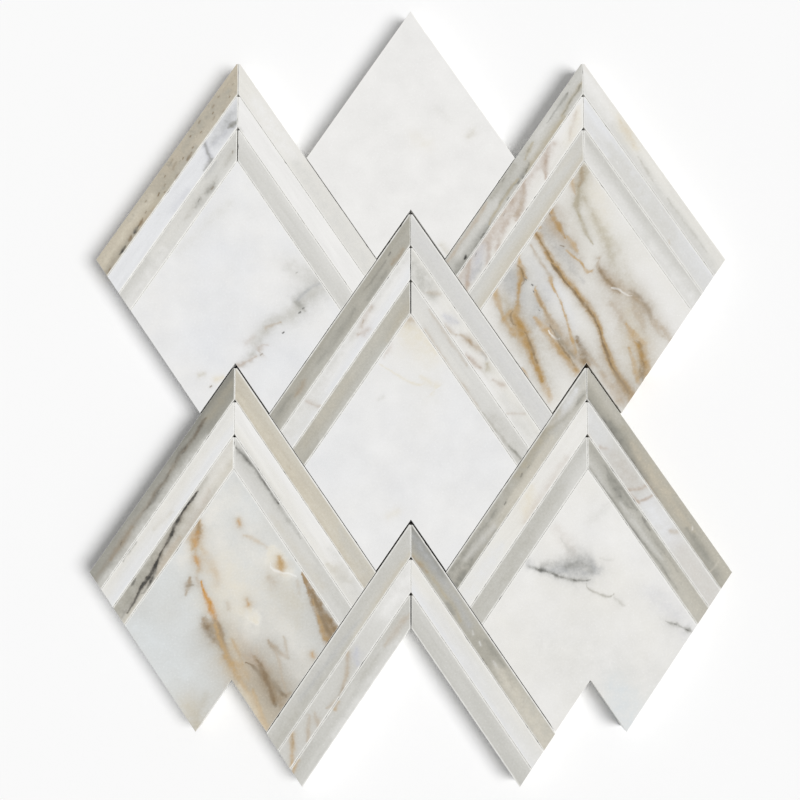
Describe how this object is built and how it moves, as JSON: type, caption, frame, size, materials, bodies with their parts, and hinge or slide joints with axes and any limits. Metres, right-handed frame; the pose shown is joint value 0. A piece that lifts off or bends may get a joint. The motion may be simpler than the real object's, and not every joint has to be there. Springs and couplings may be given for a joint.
{
  "type": "marble mosaic tile sheet",
  "caption": "Marble mosaic tile sheet of notched diamond fields capped by mitred chevrons of narrow strips, held on a glass-fibre mesh.",
  "frame": {"origin": "under the middle of the sheet, at the underside of the backing mesh", "axes": "+X across the sheet, +Y up the sheet towards its top point, +Z out of the polished face"},
  "size_m": [0.2652, 0.3248, 0.01],
  "materials": {
    "field_marble": "polished white marble with grey and golden veins",
    "white_strip_marble": "polished white marble with faint veins",
    "grey_strip_marble": "polished greige marble with specks and streaks",
    "backing_mesh": "white resin-coated glass-fibre scrim"
  },
  "bodies": {
    "root": {"top_field": "field_marble", "upper_left_field": "field_marble", "upper_right_field": "field_marble", "centre_field": "field_marble", "lower_left_field": "field_marble", "lower_right_field": "field_marble", "upper_left_outer_left_strip": "grey_strip_marble", "upper_left_outer_right_strip": "grey_strip_marble", "upper_left_middle_left_strip": "white_strip_marble", "upper_left_middle_right_strip": "white_strip_marble", "upper_left_inner_left_strip": "grey_strip_marble", "upper_left_inner_right_strip": "grey_strip_marble", "upper_right_outer_left_strip": "grey_strip_marble", "upper_right_outer_right_strip": "grey_strip_marble", "upper_right_middle_left_strip": "white_strip_marble", "upper_right_middle_right_strip": "white_strip_marble", "upper_right_inner_left_strip": "grey_strip_marble", "upper_right_inner_right_strip": "grey_strip_marble", "centre_outer_left_strip": "grey_strip_marble", "centre_outer_right_strip": "grey_strip_marble", "centre_middle_left_strip": "white_strip_marble", "centre_middle_right_strip": "white_strip_marble", "centre_inner_left_strip": "grey_strip_marble", "centre_inner_right_strip": "grey_strip_marble", "lower_left_outer_left_strip": "grey_strip_marble", "lower_left_outer_right_strip": "grey_strip_marble", "lower_left_middle_left_strip": "white_strip_marble", "lower_left_middle_right_strip": "white_strip_marble", "lower_left_inner_left_strip": "grey_strip_marble", "lower_left_inner_right_strip": "grey_strip_marble", "lower_right_outer_left_strip": "grey_strip_marble", "lower_right_outer_right_strip": "grey_strip_marble", "lower_right_middle_left_strip": "white_strip_marble", "lower_right_middle_right_strip": "white_strip_marble", "lower_right_inner_left_strip": "grey_strip_marble", "lower_right_inner_right_strip": "grey_strip_marble", "bottom_outer_left_strip": "grey_strip_marble", "bottom_outer_right_strip": "grey_strip_marble", "bottom_middle_left_strip": "white_strip_marble", "bottom_middle_right_strip": "white_strip_marble", "bottom_inner_left_strip": "grey_strip_marble", "bottom_inner_right_strip": "grey_strip_marble", "mesh_weft_threads": "backing_mesh", "mesh_warp_threads": "backing_mesh"}
  },
  "joints": []
}
